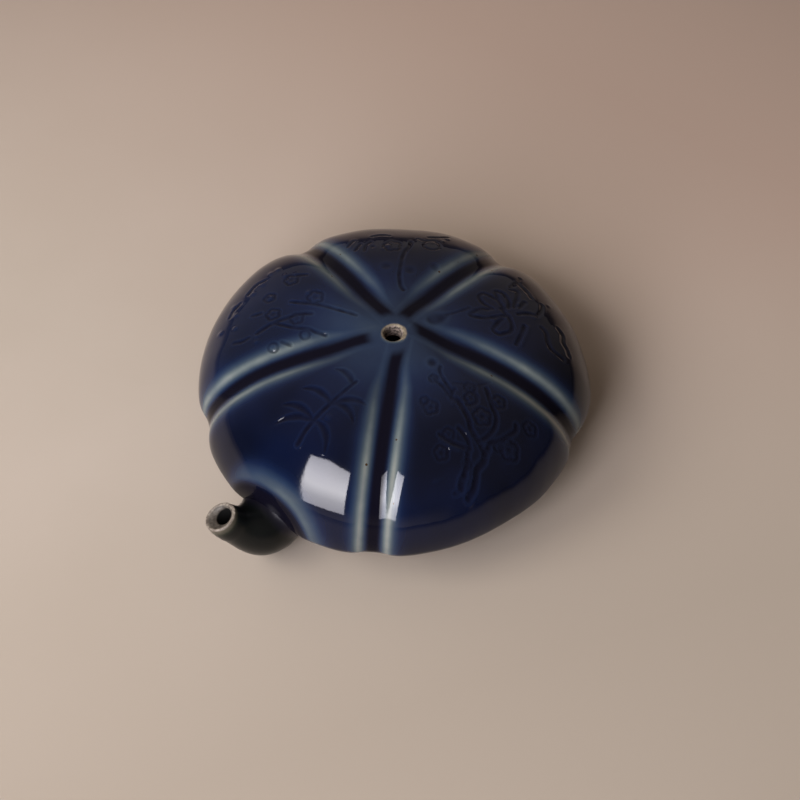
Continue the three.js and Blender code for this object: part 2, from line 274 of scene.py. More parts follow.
def groove_share(radius, azimuth):
    """How fully a point lies in a groove: 1 on the floor, 0 on a lobe."""
    widened = smooth((radius - GROOVE_START) / GROOVE_WIDENING_RUN)
    breadth = mix(GROOVE_BREADTH_AT_START, GROOVE_BREADTH, widened)
    lateral = np.abs(beside_grooves(radius, azimuth)) / breadth
    untouched = np.prod(1 - 1 / (1 + lateral ** GROOVE_SQUARENESS), axis=0)
    return (1 - untouched) * smooth((radius - GROOVE_START) / GROOVE_RUN_IN)


def groove_depth(height):
    rise = (height - WIDEST_HEIGHT) / (BODY_HEIGHT - WIDEST_HEIGHT)
    above = mix(GROOVE_DEPTH_AT_WIDEST, GROOVE_DEPTH, smooth(rise * 2))
    below = mix(GROOVE_DEPTH_AT_FOOT, GROOVE_DEPTH_AT_WIDEST, np.clip(height / WIDEST_HEIGHT, 0, 1))
    return np.where(rise >= 0, above, below)


def swell(lobe, across):
    """How far the wall swells past the round at a share of the way across a lobe, at the widest line."""
    after = GROOVE_SWELLS[1:] + GROOVE_SWELLS[:1]
    swells = np.array([(a, *values, b) for a, values, b in zip(GROOVE_SWELLS, LOBE_SWELLS, after)])
    place = across * (swells.shape[1] - 1)
    before = np.minimum(place.astype(int), swells.shape[1] - 2)
    return mix(swells[lobe, before], swells[lobe, before + 1], smooth(place - before))


HOLLOW_HEIGHT = WIDEST_HEIGHT - HOLLOW_DROP
HOLLOW_CENTRE = np.array([
    belly_radius_at(HOLLOW_HEIGHT) * math.cos(math.radians(HOLLOW_AZIMUTH)),
    belly_radius_at(HOLLOW_HEIGHT) * math.sin(math.radians(HOLLOW_AZIMUTH)),
    HOLLOW_HEIGHT,
])


def away_from_hollow(x, y, z):
    return np.sqrt((x - HOLLOW_CENTRE[0]) ** 2 + (y - HOLLOW_CENTRE[1]) ** 2 + (z - HOLLOW_CENTRE[2]) ** 2)


def hollow_depth(x, y, z):
    """How far the wall is pressed in at a point to make room for the spout."""
    return HOLLOW_DEPTH * smooth(1 - away_from_hollow(x, y, z) / HOLLOW_RADIUS)


def waviness(x, y, z):
    """Slow unevenness of a hand-finished wall, in mm."""
    wave = 0.03 * np.sin(0.31 * x + 0.12 * y + 0.2 * z + 0.7)
    wave += 0.03 * np.sin(-0.17 * x + 0.34 * y + 0.26 * z + 2.1)
    wave += 0.012 * np.sin(0.62 * x - 0.48 * y + 0.3 * z + 4.0)
    return wave + 0.006 * np.sin(1.1 * y + 0.7 * x - 0.5 * z)


# Laying out the skin's vertices

def columns_of(count):
    """Lobe, and share of the way across it, of columns that are even round the widest line."""
    edges = groove_azimuths(BODY_RADIUS)
    azimuth = edges[0] + 360 * np.arange(count) / count
    lobe = np.searchsorted(edges, azimuth, side="right") - 1
    return lobe, (azimuth - edges[lobe]) / (edges[lobe + 1] - edges[lobe])


def laid_out(outline, counts):
    """Every vertex of a skin, before it is pressed or carved: its outline point turned to its column."""
    radius, height, out, up = (np.repeat(values, counts) for values in outline)
    columns = [columns_of(count) for count in counts]
    lobe = np.concatenate([column[0] for column in columns])
    across = np.concatenate([column[1] for column in columns])
    edges = groove_azimuths(radius)
    every = np.arange(len(radius))
    azimuth = mix(edges[lobe, every], edges[lobe + 1, every], across)
    x, y = radius * np.cos(np.radians(azimuth)), radius * np.sin(np.radians(azimuth))
    return SimpleNamespace(radius=radius, height=height, out=out, up=up, lobe=lobe, across=across,
                           azimuth=azimuth, x=x, y=y)


def single_row(radius, height):
    """One row of vertices in the wall's edge, between its outer and its inner face."""
    return laid_out([np.array([v]) for v in (radius, height, 1.0, 0.0)], [2 * INNER_COLUMNS])


def pressed(skin, sunk=0.0, depth=None):
    """The skin's points in mm, swollen and sunk into the grooves, the hollow and what is carved."""
    groove = groove_depth(skin.height) if depth is None else depth
    total = groove * groove_share(skin.radius, skin.azimuth) + sunk
    total = total + hollow_depth(skin.x, skin.y, skin.height)
    swollen = swell(skin.lobe, skin.across) * (skin.radius / BODY_RADIUS) ** 2
    radius = skin.radius + swollen - total * skin.out
    turn = np.radians(skin.azimuth)
    off_axis = 1 - smooth((skin.radius - AIR_HOLE_RADIUS - AIR_HOLE_ROUNDING) / CROWN_SHIFT_RUN)
    x = radius * np.cos(turn) + off_axis * AIR_HOLE_PLACE[0]
    y = radius * np.sin(turn) + off_axis * AIR_HOLE_PLACE[1]
    return np.stack([x, y, skin.height - total * skin.up], -1)


def rows_between(start, count, next_start, next_count):
    """Faces between two rows that close on themselves, where one may have twice the other's vertices."""
    if count == next_count:
        k = np.arange(count)
        n = (k + 1) % count
        return np.stack([start + k, start + n, next_start + n, next_start + k], -1).tolist()
    few, many = min(count, next_count), max(count, next_count)
    few_start, many_start = (start, next_start) if count < next_count else (next_start, start)
    k = np.arange(few)
    a, b = few_start + k, few_start + (k + 1) % few
    first, middle, last = many_start + 2 * k, many_start + 2 * k + 1, many_start + (2 * k + 2) % many
    faces = np.concatenate([np.stack([a, b, middle], -1), np.stack([first, a, middle], -1),
                            np.stack([middle, b, last], -1)])
    return (faces if count < next_count else faces[:, ::-1]).tolist()


def skin_faces(counts, closed):
    starts = np.concatenate([[0], np.cumsum(counts)[:-1]]).astype(int)
    faces = []
    last = len(counts) if closed else len(counts) - 1
    for i in range(last):
        j = (i + 1) % len(counts)
        faces += rows_between(starts[i], counts[i], starts[j], counts[j])
    return faces


def make_piece(name, points_mm, faces, attributes, material):
    """A smooth mesh object riding on the body, with its painted attributes."""
    mesh = bpy.data.meshes.new(name)
    mesh.from_pydata((np.asarray(points_mm) * MM).tolist(), [], faces)
    for key, values in attributes.items():
        layer = mesh.attributes.new(key, "FLOAT", "POINT")
        layer.data.foreach_set("value", np.asarray(values, np.float32))
    mesh.shade_smooth()
    mesh.set_sharp_from_angle(angle=math.radians(SHARP_ANGLE))
    mesh.materials.append(material)
    piece = bpy.data.objects.new(name, mesh)
    bpy.context.scene.collection.objects.link(piece)
    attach(piece, "root")
    return piece


# What is carved into the lobes: a mark's course across and outwards in mm, its half widths and its depth

def line(points, width=0.9, depth=0.35):
    """A carved line that runs smoothly through its points; it stands up where the depth is negative."""
    ends = [2 * np.array(points[0]) - points[1], *points, 2 * np.array(points[-1]) - points[-2]]
    knots = np.array(ends, float)
    course = []
    for a, b, c, d in zip(knots, knots[1:], knots[2:], knots[3:]):
        for t in (0, 0.25, 0.5, 0.75):
            course.append(b + 0.5 * t * (c - a + t * (2 * a - 5 * b + 4 * c - d + t * (3 * (b - c) + d - a))))
    course.append(knots[-2])
    return SimpleNamespace(course=np.array(course), half=np.full(len(course), width / 2), depth=depth)


def tapered(points, width, depth=0.35):
    """A carved line that swells in its middle and runs out to points, like a leaf or a brush stroke."""
    mark = line(points, width, depth)
    along = np.linspace(0, 1, len(mark.course))
    mark.half = width / 2 * (0.3 + 0.7 * np.sin(math.pi * along ** 0.8))
    return mark


def ring(across, outwards, radius, width=0.65, depth=0.28, petals=0):
    """The outline of a round, or of a blossom with this many scalloped petals."""
    turn = np.radians(np.arange(0, 361, 12))
    scallop = 0.24 * np.abs(np.cos(petals / 2 * turn)) ** 0.6 if petals else 0.24
    reach = radius * (0.76 + scallop)
    course = np.stack([across + reach * np.cos(turn), outwards + reach * np.sin(turn)], -1)
    return SimpleNamespace(course=course, half=np.full(len(course), width / 2), depth=depth)


def dot(across, outwards, radius=0.6, depth=-0.25):
    """A small round pit, or a raised bead where the depth is negative."""
    course = np.array([(across, outwards), (across + 0.01, outwards)])
    return SimpleNamespace(course=course, half=np.full(2, radius), depth=depth)


def blossom(across, outwards, radius):
    """A five-petalled blossom with a pit at its heart."""
    return [ring(across, outwards, radius, petals=5), dot(across, outwards, 0.5, 0.2)]


def nearness(mark, u, v):
    """Distance of points from a mark's course, counted in half widths of the course there."""
    nearest = np.full(u.shape, np.inf)
    stretches = zip(mark.course[:-1], mark.course[1:], mark.half[:-1], mark.half[1:])
    for (au, av), (bu, bv), start, end in stretches:
        du, dv = bu - au, bv - av
        t = np.clip(((u - au) * du + (v - av) * dv) / (du * du + dv * dv + 1e-9), 0, 1)
        nearest = np.minimum(nearest, np.hypot(u - au - t * du, v - av - t * dv) / mix(start, end, t))
    return nearest


def carve(skin, designs):
    """Depth of the carving at each vertex, and how thin the glaze runs beside it; over a raised mark that
    paleness is partly a painted glint.
    """
    depth = np.zeros_like(skin.x)
    edge = np.zeros_like(skin.x)
    for azimuth, marks in designs:
        middle = math.radians(azimuth)
        u = skin.y * math.cos(middle) - skin.x * math.sin(middle)
        v = skin.x * math.cos(middle) + skin.y * math.sin(middle)
        for mark in marks:
            reach = 4 * mark.half.max()
            low, high = mark.course.min(axis=0) - reach, mark.course.max(axis=0) + reach
            near = np.flatnonzero((u > low[0]) & (u < high[0]) & (v > low[1]) & (v < high[1]))
            place = nearness(mark, u[near], v[near])
            uneven = np.sin(1.1 * u[near] + 0.7 * v[near]) * np.sin(1.3 * v[near] - 0.6 * u[near])
            filled = 0.85 + 0.3 * uneven
            cut = CARVING_LEFT * mark.depth * filled * smooth((1.9 - place) / 1.6)
            depth[near] = np.where(np.abs(cut) > np.abs(depth[near]), cut, depth[near])
            # over a raised mark the paleness is partly thin glaze over the clay, partly a painted glint
            lip = bell((place - 1.7) / 0.6) * mark.depth if mark.depth > 0 else -2.5 * cut
            edge[near] = np.maximum(edge[near], lip)
    return depth, edge


def plum_branch():
    """A trunk that forks into twigs with blossoms and buds."""
    marks = [
        line([(-5.6, 45.1), (-3.5, 44.3), (-2, 43), (-0.6, 41.3), (1.9, 40.5), (3.2, 39.3),
              (4.6, 38.4)], 1.2, 0.4),
        line([(4.6, 38.4), (5.9, 37.5), (8.6, 37.8), (11.3, 37.4), (13.6, 37), (14.4, 35.9)], 0.9, 0.35),
        line([(-6.4, 42.8), (-5.4, 41.8), (-4.3, 41.1)], 1.3, 0.4),
        line([(-4.3, 41.1), (-3.3, 40.2), (-2.4, 39.4), (-1.6, 38.4), (-0.6, 37.2), (0.2, 36.7)], 1.0, 0.4),
        line([(-8.4, 43), (-7.6, 43.2)], 0.8, 0.25),
        line([(0.2, 36.7), (0.8, 34.9), (0.7, 33), (0.3, 31.3)]),
        line([(-0.9, 36.2), (-0.2, 34.6), (-0.3, 32.9), (-0.6, 31.5)], 0.6, -0.12),
        line([(0.2, 36.7), (-1.4, 35.3), (-2.5, 34.2), (-3.7, 32.6), (-4.8, 30.3)], 0.9, 0.35),
        tapered([(-2.2, 36), (-3.4, 34.9), (-4.6, 33.3), (-5.8, 31.2)], 1.1, -0.22),
        line([(3.2, 39.3), (3.2, 36), (3, 34.7), (3, 32.6), (3.8, 30.3), (4, 26.5), (3.9, 25),
              (3, 23.8)], 1.0, 0.35),
        line([(3, 23.8), (4.2, 22.4), (5, 22.1)], 0.7, 0.3),
        line([(3, 24), (2.8, 21.5), (2.7, 19.9), (2.3, 18.8), (2, 17.6)], 0.75, 0.3),
        line([(3.9, 22.6), (4, 19.5), (4.2, 17.2), (4.6, 15.7), (5.4, 14.9)], 0.75, 0.3),
        dot(4.2, 12.9, 0.9, 0.3),
        line([(3, 36), (5, 36.1), (7.1, 35.5), (9, 34.5), (10.5, 32.6), (11.1, 29.9), (11.7, 27.6),
              (12.3, 25.3)]),
        line([(14.4, 24), (10.9, 23.7), (7.8, 21.7), (5.5, 20.4)], 0.6, 0.18),
        line([(8.6, 25.9), (8.2, 27), (6.5, 27.6), (5.5, 27)], 0.7, 0.3),
        tapered([(-12.3, 38.6), (-10.8, 38.8), (-9.3, 39.2)], 0.8, -0.1),
    ]
    blossoms = ((7.3, 31.3, 2.3), (7.4, 26, 1.7), (8.6, 23.4, 1.4), (13.4, 29.6, 1.7), (17.6, 37.6, 1.7),
                (9.6, 40.3, 2.4), (-6.8, 34.2, 1.8), (-3, 23.4, 1.9), (2, 17, 1.1), (-2.8, 31.4, 1.5))
    for place in blossoms:
        marks += blossom(*place)
    for across, outwards in ((7.3, 39), (-3.4, 21), (-2.2, 39.3)):
        marks.append(ring(across, outwards, 1.0))
    for across, outwards in ((8.3, 14), (0.2, 16.9), (-2.7, 22.2), (-4, 20.2), (2.1, 25.4), (12.7, 28.9)):
        marks.append(dot(across, outwards, 0.4, -0.12))
    return marks


def lotus():
    """An open flower with pointed petals on a tapering stem, over broad leaves."""
    petals = [
        [(2.7, 26.1), (3, 24.5), (2.5, 22.6), (1.5, 21.1), (0.5, 22.6), (0, 24.9), (0.2, 28),
         (0.7, 30.1), (2.7, 29.5)],
        [(2.8, 27.2), (4, 26.1), (5.2, 25.3), (7.1, 25.1), (8.2, 26.5), (7.3, 28), (6.3, 29),
         (4.8, 29.7), (2.5, 30.1)],
        [(2.8, 30.2), (5.6, 29.8), (8.6, 29.9), (8.4, 31.3), (7.5, 32), (4.8, 32.2), (3, 31.5)],
        [(3.2, 33), (4.8, 33.8), (6.7, 34.9), (9, 35.7), (9.6, 34.2)],
        [(0.9, 33.4), (1.3, 36.1), (0.9, 38)],
        [(3.2, 34.5), (5.2, 36.5)],
        [(0.3, 30.7), (-2.5, 30.7), (-4.5, 29.7), (-5, 28), (-5.2, 26.5), (-3.7, 25.5), (-2.2, 26.8),
         (-0.6, 28.8)],
        [(-2.9, 33.8), (-4.8, 32.6), (-6.8, 31.1), (-8.3, 30.1)],
        [(0.9, 38.4), (2.8, 39.9), (5.2, 41)],
        [(-2.9, 38.2), (-4.5, 38.8), (-8.7, 38.4), (-11.4, 41)],
        [(-2, 42.8), (-3.7, 43.4), (-6, 42.6), (-7.9, 43), (-9.8, 43)],
        [(7.1, 38.8), (9.4, 38.4), (12.5, 37.2), (14.8, 38.4)],
        [(10.5, 34.5), (12.8, 36.8)],
    ]
    marks = [line(points, 0.85, 0.36) for points in petals]
    marks.append(tapered([(2.1, 10.6), (1.9, 12), (2, 13.5), (2.7, 15.7)], 2.6, 0.3))
    marks.append(line([(2.6, 15.2), (3, 18.8), (3.8, 21.5)], 0.7, 0.25))
    marks.append(line([(1.5, 23), (1.6, 26), (1.9, 28.6)], 0.6, -0.12))
    marks.append(line([(-3, 35), (-5, 33.8), (-7, 32.3), (-8.6, 31.2)], 0.7, -0.15))
    for across, outwards in ((-0.8, 26.3), (0.1, 37.4), (4.2, 34.8), (5.8, 43)):
        marks.append(dot(across, outwards, 0.5, -0.2))
    return marks


def peony_spray():
    """An upright stem with leaves to one side and a round flower."""
    marks = [
        line([(-2.2, 14.9), (-1.4, 16.1), (-0.8, 19.5), (-0.8, 22.6), (-1, 26.5), (-1.6, 29.5),
              (-2.5, 31.8), (-2.7, 34.2)]),
        line([(9.2, 29.5), (9, 31.8), (7.8, 33.4)], 0.8),
        line([(11.7, 29.9), (10.5, 32.6)], 0.8),
        line([(13.8, 31.8), (12.5, 34.5)], 0.8),
        line([(7.8, 36.5), (5.5, 37.6), (3.2, 37.2)], 0.8),
        line([(-7.2, 37.6), (-9.8, 38.4), (-12.3, 40)], 0.8),
        line([(-4.6, 36.2), (-6.4, 35.4), (-9, 36.2)], 0.7),
        ring(-8.3, 33.4, 2.2),
        ring(2, 31.8, 2.4, petals=5),
        dot(7.1, 31.1, 0.5, 0.25),
        dot(2.8, 31.5, 0.6, -0.25),
    ]
    for across, outwards in ((-3.3, 22), (2.8, 23), (-9.7, 24.5)):
        marks.append(dot(across, outwards, 0.9, 0.2))
    for across, outwards in ((-10.8, 36.8), (-12.3, 38.4), (4.4, 30.2)):
        marks.append(dot(across, outwards, 0.5, -0.2))
    return marks


def flowering_twigs():
    """Long twigs with blossoms and round berries among beads of glaze."""
    marks = [
        line([(5.7, 15.7), (5.6, 18.8), (5.3, 20.7), (5.9, 24.5), (5.5, 29.5)], 0.8),
        line([(10.7, 23.4), (10.5, 25.7)], 0.8),
        line([(0.7, 21.5), (1.3, 23.8), (2.1, 25.3), (3.6, 27.2), (5.2, 29.5), (7.1, 31.5), (9, 33)], 0.9),
        line([(-2.2, 10.3), (-2.3, 13.8), (-2.5, 18), (-2.5, 20.7), (-2.2, 24.2), (-1.8, 28)], 0.8),
        line([(2.8, 34.5), (3.6, 36.5)], 0.8),
        line([(-11.8, 28), (-11.2, 30.3)], 0.8),
        line([(-9.2, 38.4), (-7.5, 40.3), (-4.2, 41.2)], 0.8),
        line([(-1.2, 42), (0.9, 43), (3.2, 43.1)], 0.8),
        line([(10.4, 34.8), (11.5, 36.5), (11.8, 38.4)], 0.8),
        ring(7.1, 20.7, 1.2),
        ring(12.3, 27.4, 1.2),
    ]
    for place in ((3, 24.5, 1.7), (-4.7, 22.6, 2.1), (2.8, 31.1, 1.8), (-2.5, 34.3, 1.5), (-9.3, 31.1, 1.9)):
        marks += blossom(*place)
    beads = ((-3.1, 15.9), (-3.7, 21.4), (-5.8, 24.9), (-1.8, 27.6), (9.8, 32.8), (11.3, 32.2), (-11.8, 31.1),
             (-10.9, 33.6), (-2.5, 34.1), (7.1, 39.9), (7.7, 44.1), (-0.6, 43.8), (2.8, 41.5), (-4.3, 39.7),
             (-7.5, 38.4), (-11.8, 38), (-13.3, 36.7))
    for across, outwards in beads:
        marks.append(dot(across, outwards))
    return marks


def bamboo_sprig():
    """A jointed stem with pointed leaves in pairs."""
    marks = [
        line([(1.2, 36.8), (0.8, 33.5), (0.9, 30.6)], 0.9, 0.38),
        line([(0.9, 30), (1.1, 27.5), (1.5, 24.8)], 0.85, 0.38),
        line([(1.5, 24.2), (2, 20.5), (2.6, 16.4)], 0.75, 0.36),
        line([(0, 30.4), (1.8, 30.3)], 0.7, 0.3),
        line([(0.6, 24.6), (2.3, 24.4)], 0.7, 0.3),
    ]
    leaves = (
        [(0.4, 30.6), (-2.8, 31.6), (-5.4, 33.6), (-7.4, 36.4)],
        [(0.3, 30.2), (-3.2, 29.6), (-6.2, 30.2), (-8.6, 31.6)],
        [(1.5, 30), (4.4, 30.6), (6.6, 32.4), (8.2, 35)],
        [(1.1, 24.4), (-1.8, 23.8), (-4.6, 24.2), (-7, 25.6)],
        [(2, 24.2), (4.6, 23.4), (7, 23.8), (9.2, 25.2)],
        [(2.2, 24), (4, 21.6), (6.2, 20.2), (8.6, 19.6)],
        [(2.4, 17.4), (0.4, 16.2), (-1.8, 16), (-4, 16.8)],
    )
    for points in leaves:
        marks.append(tapered(points, 1.2, 0.32))
    marks.append(dot(3.4, 27.8, 0.7, -0.25))
    return marks


# Azimuth of the middle of each design, and its marks
DESIGNS = ((-14.0, plum_branch()), (58.5, lotus()), (129.1, peony_spray()), (201.5, flowering_twigs()),
           (272.8, bamboo_sprig()))


# Materials

def across_mm(size):
    """Scale of a pattern in object space whose features are this many millimetres across."""
    return 1 / (size * MM)


def add(tree, kind, settings=None, **links):
    """Adds a node, sets its properties, sockets and colour stops, and links sockets by name or number.

    In a Mix node for colours, socket 0 is the share, 6 and 7 are the colours, and output 2 is the result."""
    node = tree.nodes.new(kind)
    for key, value in (settings or {}).items():
        if key == "stops":
            elements = node.color_ramp.elements
            while len(elements) < len(value):
                elements.new(0.5)
            for element, (place, colour) in zip(elements, value):
                element.position, element.color = place, linear(colour)
        elif isinstance(key, int) or key in node.inputs:
            node.inputs[key].default_value = value
        else:
            setattr(node, key, value)
    for key, source in links.items():
        target = int(key[1:]) if key[0] == "i" and key[1:].isdigit() else key.replace("_", " ")
        tree.links.new(source.outputs[0] if hasattr(source, "outputs") else source, node.inputs[target])
    return node


def new_material(name):
    material = bpy.data.materials.new(name)
    material.use_nodes = True
    tree = material.node_tree
    tree.nodes.clear()
    return material, tree


def cobalt_glaze():
    """Cobalt-blue glaze fired over white porcelain.

    It looks near black where it lies thick, deep blue over the lobes, and a pale greenish grey where it
    ran thin off an edge, with a few brown iron specks there; its surface is wet-smooth. The same paleness
    also carries painted reflection over one lobe and below the hollow's rim, and painted glints on raised
    marks."""
    material, tree = new_material("cobalt_glaze")
    # the thin share also holds painted reflection and painted glints
    thin = add(tree, "ShaderNodeAttribute", {"attribute_name": "thin"}).outputs["Fac"]
    pool = add(tree, "ShaderNodeAttribute", {"attribute_name": "pool"}).outputs["Fac"]
    bare = add(tree, "ShaderNodeAttribute", {"attribute_name": "bare"}).outputs["Fac"]
    place = add(tree, "ShaderNodeTexCoord").outputs["Object"]
    cloud = add(tree, "ShaderNodeTexNoise", {"Scale": across_mm(7), "Detail": 4.0}, Vector=place)
    wander = add(tree, "ShaderNodeMath", {"operation": "MULTIPLY_ADD", 1: 0.5, 2: 0.75}, i0=cloud)
    level = add(tree, "ShaderNodeMath", {"operation": "MULTIPLY", "use_clamp": True}, i0=thin, i1=wander)
    colour = add(tree, "ShaderNodeValToRGB", {"stops": [
        (0.0, "060a1a"),
        (0.12, "0e182f"),
        (0.3, "222f42"),
        (0.5, "38434d"),
        (0.75, "5a6364"),
        (1.0, "7c807a"),
    ]}, Fac=level)
    blue = add(tree, "ShaderNodeTexNoise", {"Scale": across_mm(24), "Detail": 2.0}, Vector=place)
    bluer = add(tree, "ShaderNodeMapRange", {"From Min": 0.42, "From Max": 0.62, "To Max": 0.5}, Value=blue)
    tinge = {"data_type": "RGBA", "blend_type": "ADD", 7: linear("040b22")}
    colour = add(tree, "ShaderNodeMix", tinge, i0=bluer, i6=colour).outputs[2]
    cell = add(tree, "ShaderNodeTexVoronoi", {"Scale": across_mm(1.5)}, Vector=place)
    near = add(tree, "ShaderNodeMath", {"operation": "LESS_THAN", 1: 0.22}, i0=cell.outputs["Distance"])
    chance = add(tree, "ShaderNodeSeparateColor", Color=cell.outputs["Color"])
    rare = add(tree, "ShaderNodeMath", {"operation": "GREATER_THAN", 1: 0.86}, i0=chance)
    on_pale = add(tree, "ShaderNodeMath", {"operation": "GREATER_THAN", 1: 0.62}, i0=level)
    speck = add(tree, "ShaderNodeMath", {"operation": "MULTIPLY"}, i0=near, i1=rare)
    speck = add(tree, "ShaderNodeMath", {"operation": "MULTIPLY"}, i0=speck, i1=on_pale)
    iron = {"data_type": "RGBA", 7: linear("3a2817")}
    colour = add(tree, "ShaderNodeMix", iron, i0=speck, i6=colour).outputs[2]
    thick = {"data_type": "RGBA", 7: linear(THICK_GLAZE)}
    colour = add(tree, "ShaderNodeMix", thick, i0=pool, i6=colour).outputs[2]
    peel = add(tree, "ShaderNodeTexNoise", {"Scale": across_mm(0.8), "Detail": 3.0}, Vector=place)
    skin = add(tree, "ShaderNodeBump", {"Strength": 0.1, "Distance": 0.00004}, Height=peel)
    sheen = add(tree, "ShaderNodeMapRange", {"To Min": 0.46, "To Max": 0.12}, Value=pool)
    finish = {"Roughness": 0.06, "IOR": 1.42}
    glaze = add(tree, "ShaderNodeBsdfPrincipled", finish, Base_Color=colour, Normal=skin,
                Specular_IOR_Level=sheen)
    grit = add(tree, "ShaderNodeTexNoise", {"Scale": across_mm(0.7), "Detail": 4.0}, Vector=place)
    clay = add(tree, "ShaderNodeValToRGB", {"stops": [(0.3, "5e5446"), (0.7, "887c66")]}, Fac=grit)
    # the bare clay down inside the air hole is darker
    darker_clay = add(tree, "ShaderNodeValToRGB", {"stops": [(0.38, "241d19"), (0.62, "84766c")]}, Fac=grit)
    clay = add(tree, "ShaderNodeMix", {"data_type": "RGBA"}, i0=pool, i6=clay, i7=darker_clay).outputs[2]
    body = add(tree, "ShaderNodeBsdfPrincipled", {"Roughness": 0.7}, Base_Color=clay)
    both = add(tree, "ShaderNodeMixShader", i0=bare, i1=glaze, i2=body)
    add(tree, "ShaderNodeOutputMaterial", Surface=both)
    return material


def spout_glaze():
    """Dark glaze of the spout, almost black with a tinge of olive, worn off to the pale clay at its lip, with
    painted shade turning the clay near black down its bore.
    """
    material, tree = new_material("dark_spout_glaze")
    thin = add(tree, "ShaderNodeAttribute", {"attribute_name": "thin"}).outputs["Fac"]
    pool = add(tree, "ShaderNodeAttribute", {"attribute_name": "pool"}).outputs["Fac"]
    bare = add(tree, "ShaderNodeAttribute", {"attribute_name": "bare"}).outputs["Fac"]
    place = add(tree, "ShaderNodeTexCoord").outputs["Object"]
    cloud = add(tree, "ShaderNodeTexNoise", {"Scale": across_mm(5), "Detail": 3.0}, Vector=place)
    level = add(tree, "ShaderNodeMath", {"operation": "MULTIPLY_ADD", 1: 0.25}, i0=cloud, i2=thin)
    colour = add(tree, "ShaderNodeValToRGB", {"stops": [
        (0.0, "06070a"),
        (0.25, "0f1211"),
        (0.5, "20241d"),
        (1.0, "5b564a"),
    ]}, Fac=level)
    thick = {"data_type": "RGBA", 7: linear(THICK_GLAZE)}
    colour = add(tree, "ShaderNodeMix", thick, i0=pool, i6=colour).outputs[2]
    finish = {"Roughness": 0.28, "IOR": 1.45, "Specular IOR Level": 0.3}
    glaze = add(tree, "ShaderNodeBsdfPrincipled", finish, Base_Color=colour)
    grit = add(tree, "ShaderNodeTexNoise", {"Scale": across_mm(0.8), "Detail": 4.0}, Vector=place)
    clay = add(tree, "ShaderNodeValToRGB", {"stops": [(0.35, "5b5249"), (0.65, "8b8276")]}, Fac=grit)
    # painted shade: down the bore the bare clay is painted near black
    clay = add(tree, "ShaderNodeMix", {"data_type": "RGBA", 7: linear("070605")}, i0=pool, i6=clay).outputs[2]
    body = add(tree, "ShaderNodeBsdfPrincipled", {"Roughness": 0.6}, Base_Color=clay)
    both = add(tree, "ShaderNodeMixShader", i0=bare, i1=glaze, i2=body)
    add(tree, "ShaderNodeOutputMaterial", Surface=both)
    return material


def bare_porcelain():
    """Unglazed porcelain paste, fired: warm and pale, dull, with fine grit."""
    material, tree = new_material("bare_porcelain")
    place = add(tree, "ShaderNodeTexCoord").outputs["Object"]
    grit = add(tree, "ShaderNodeTexNoise", {"Scale": across_mm(0.9), "Detail": 4.0}, Vector=place)
    colour = add(tree, "ShaderNodeValToRGB", {"stops": [(0.3, "8f7d68"), (0.7, "c4b49c")]}, Fac=grit)
    bump = add(tree, "ShaderNodeBump", {"Strength": 0.2, "Distance": 0.0002}, Height=grit)
    shader = add(tree, "ShaderNodeBsdfPrincipled", {"Roughness": 0.75}, Base_Color=colour, Normal=bump)
    add(tree, "ShaderNodeOutputMaterial", Surface=shader)
    return material


def backdrop_cloth():
    """Plain pale beige backing, matt, with painted shade: darker and warmer behind the dropper, duller and
    darker in front at right, dark far off.
    """
    material, tree = new_material("backdrop_cloth")
    place = add(tree, "ShaderNodeTexCoord").outputs["Object"]
    cloud = add(tree, "ShaderNodeTexNoise", {"Scale": across_mm(80), "Detail": 5.0}, Vector=place)
    colour = add(tree, "ShaderNodeValToRGB", {"stops": [(0.3, "afa395"), (0.7, "b5a99c")]}, Fac=cloud)
    # painted shade: the cloth is darker and warmer behind the dropper, away from the lamps
    behind = {"operation": "DOT_PRODUCT", 1: tuple(direction(100, 0))}
    back = add(tree, "ShaderNodeVectorMath", behind, i0=place).outputs["Value"]
    shaded_behind = add(tree, "ShaderNodeMapRange", {"From Min": -0.02, "From Max": 0.13}, Value=back)
    shade_behind_tint = {"data_type": "RGBA", 7: linear("a69284")}
    colour = add(tree, "ShaderNodeMix", shade_behind_tint, i0=shaded_behind, i6=colour).outputs[2]
    # painted shadow: the cloth is duller and darker in front at right
    in_front = {"operation": "DOT_PRODUCT", 1: tuple(direction(335, 0))}
    front = add(tree, "ShaderNodeVectorMath", in_front, i0=place).outputs["Value"]
    shaded_in_front = add(tree, "ShaderNodeMapRange", {"From Min": -0.02, "From Max": 0.08}, Value=front)
    shade_in_front_tint = {"data_type": "RGBA", 7: linear("a5998b")}
    colour = add(tree, "ShaderNodeMix", shade_in_front_tint, i0=shaded_in_front, i6=colour).outputs[2]
    # painted shade: the cloth falls dark far off from the dropper
    off = add(tree, "ShaderNodeVectorMath", {"operation": "LENGTH"}, i0=place).outputs["Value"]
    far = add(tree, "ShaderNodeMapRange", {"From Min": 0.12, "From Max": 0.4, "To Max": 0.9,
                                           "interpolation_type": "SMOOTHSTEP"}, Value=off)
    dark = {"data_type": "RGBA", 7: linear("52483f")}
    colour = add(tree, "ShaderNodeMix", dark, i0=far, i6=colour).outputs[2]
    finish = {"Roughness": 0.95, "Specular IOR Level": 0.1}
    shader = add(tree, "ShaderNodeBsdfPrincipled", finish, Base_Color=colour)
    add(tree, "ShaderNodeOutputMaterial", Surface=shader)
    return material


# Pieces

def column_counts(radii):
    """Columns of each row: fewer where the rows are short."""
    return [COLUMNS if r > HALVED_WITHIN else COLUMNS // 2 if r > QUARTERED_WITHIN else COLUMNS // 4
            for r in radii]


